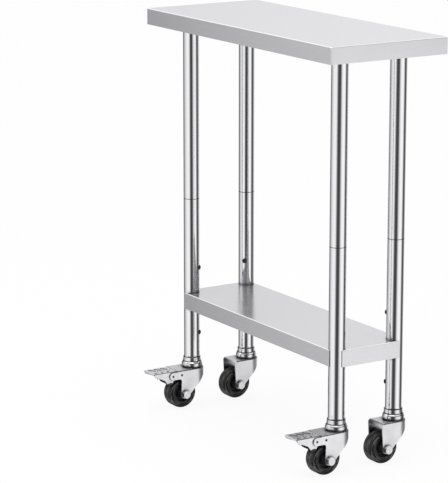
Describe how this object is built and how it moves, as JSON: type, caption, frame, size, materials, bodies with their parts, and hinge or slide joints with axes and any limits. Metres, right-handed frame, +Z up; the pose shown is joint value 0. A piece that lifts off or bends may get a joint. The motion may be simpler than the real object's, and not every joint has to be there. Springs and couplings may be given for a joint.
{
  "type": "kitchen island cart",
  "caption": "Narrow stainless steel work table on round legs with an undershelf, rolling on swivel casters, the front casters with foot brakes.",
  "frame": {"origin": "on the floor, under the middle of the cart's whole envelope, pedals included", "axes": "+X to the cart's right along its length, +Y to its back, +Z up"},
  "size_m": [0.762, 0.3516, 0.96],
  "materials": {
    "brushed_stainless": "satin brushed stainless sheet",
    "polished_tube": "mirror polished stainless tube",
    "caster_chrome": "bright chromed steel",
    "caster_zinc": "bright zinc plated pressed steel",
    "pedal_zinc": "dull zinc plated pressed steel",
    "zinc_fasteners": "zinc plated",
    "galvanised_steel": "galvanised sheet",
    "bearing_steel": "plain ground steel",
    "black_steel": "black oxide",
    "black_plastic": "black moulded plastic",
    "black_rubber": "black rubber"
  },
  "bodies": {
    "cart_frame": {"caster_sockets": "caster_chrome", "hole_plugs": "black_plastic", "kingpins": "bearing_steel", "leg_channel_left": "galvanised_steel", "leg_channel_right": "galvanised_steel", "leg_joiners": "black_steel", "leg_mount_screws": "zinc_fasteners", "leg_mounts": "galvanised_steel", "leg_set_screws": "black_steel", "lower_leg_back_left": "polished_tube", "lower_leg_back_right": "polished_tube", "lower_leg_front_left": "polished_tube", "lower_leg_front_right": "polished_tube", "raceway_cups": "caster_chrome", "rivet_nuts": "black_steel", "shelf_bolts": "zinc_fasteners", "shelf_brackets": "galvanised_steel", "shelf_stiffener": "galvanised_steel", "swivel_balls": "bearing_steel", "table_top": "brushed_stainless", "top_stiffener": "galvanised_steel", "undershelf": "brushed_stainless", "upper_leg_back_left": "polished_tube", "upper_leg_back_right": "polished_tube", "upper_leg_front_left": "polished_tube", "upper_leg_front_right": "polished_tube"},
    "pedal_front_left": {"brake_pedal_front_left": "pedal_zinc", "brake_pad_front_left": "black_rubber"},
    "swivel_front_left": {"fork_front_left": "caster_zinc", "axle_bolt_front_left": "zinc_fasteners", "axle_nut_front_left": "zinc_fasteners", "axle_bush_front_left": "bearing_steel", "pedal_pins_front_left": "black_steel", "brake_spring_front_left": "bearing_steel"},
    "wheel_front_left": {"wheel_core_front_left": "black_plastic", "tyre_front_left": "black_rubber"},
    "pedal_front_right": {"brake_pedal_front_right": "pedal_zinc", "brake_pad_front_right": "black_rubber"},
    "swivel_front_right": {"fork_front_right": "caster_zinc", "axle_bolt_front_right": "zinc_fasteners", "axle_nut_front_right": "zinc_fasteners", "axle_bush_front_right": "bearing_steel", "pedal_pins_front_right": "black_steel", "brake_spring_front_right": "bearing_steel"},
    "wheel_front_right": {"wheel_core_front_right": "black_plastic", "tyre_front_right": "black_rubber"},
    "swivel_back_left": {"fork_back_left": "caster_zinc", "axle_bolt_back_left": "zinc_fasteners", "axle_nut_back_left": "zinc_fasteners", "axle_bush_back_left": "bearing_steel"},
    "wheel_back_left": {"wheel_core_back_left": "black_plastic", "tyre_back_left": "black_rubber"},
    "swivel_back_right": {"fork_back_right": "caster_zinc", "axle_bolt_back_right": "zinc_fasteners", "axle_nut_back_right": "zinc_fasteners", "axle_bush_back_right": "bearing_steel"},
    "wheel_back_right": {"wheel_core_back_right": "black_plastic", "tyre_back_right": "black_rubber"}
  },
  "joints": [
    {"name": "swivel_turn_front_left", "type": "hinge", "parent": "cart_frame", "child": "swivel_front_left", "pos_m": [-0.306, -0.05425, 0.0965], "axis": [0, 0, 1], "range_deg": [-135, 135]},
    {"name": "wheel_spin_front_left", "type": "hinge", "parent": "swivel_front_left", "child": "wheel_front_left", "pos_m": [-0.306, -0.08925, 0.0365], "axis": [1, 0, 0], "continuous": true},
    {"name": "brake_press_front_left", "type": "hinge", "parent": "swivel_front_left", "child": "pedal_front_left", "pos_m": [-0.306, -0.12275, 0.0845], "axis": [1, 0, 0], "range_deg": [0, 18]},
    {"name": "swivel_turn_front_right", "type": "hinge", "parent": "cart_frame", "child": "swivel_front_right", "pos_m": [0.306, -0.05425, 0.0965], "axis": [0, 0, 1], "range_deg": [-135, 135]},
    {"name": "wheel_spin_front_right", "type": "hinge", "parent": "swivel_front_right", "child": "wheel_front_right", "pos_m": [0.306, -0.08925, 0.0365], "axis": [1, 0, 0], "continuous": true},
    {"name": "brake_press_front_right", "type": "hinge", "parent": "swivel_front_right", "child": "pedal_front_right", "pos_m": [0.306, -0.12275, 0.0845], "axis": [1, 0, 0], "range_deg": [0, 18]},
    {"name": "swivel_turn_back_left", "type": "hinge", "parent": "cart_frame", "child": "swivel_back_left", "pos_m": [-0.306, 0.10075, 0.0965], "axis": [0, 0, 1], "continuous": true},
    {"name": "wheel_spin_back_left", "type": "hinge", "parent": "swivel_back_left", "child": "wheel_back_left", "pos_m": [-0.306, 0.06575, 0.0365], "axis": [1, 0, 0], "continuous": true},
    {"name": "swivel_turn_back_right", "type": "hinge", "parent": "cart_frame", "child": "swivel_back_right", "pos_m": [0.306, 0.10075, 0.0965], "axis": [0, 0, 1], "continuous": true},
    {"name": "wheel_spin_back_right", "type": "hinge", "parent": "swivel_back_right", "child": "wheel_back_right", "pos_m": [0.306, 0.06575, 0.0365], "axis": [1, 0, 0], "continuous": true}
  ]
}
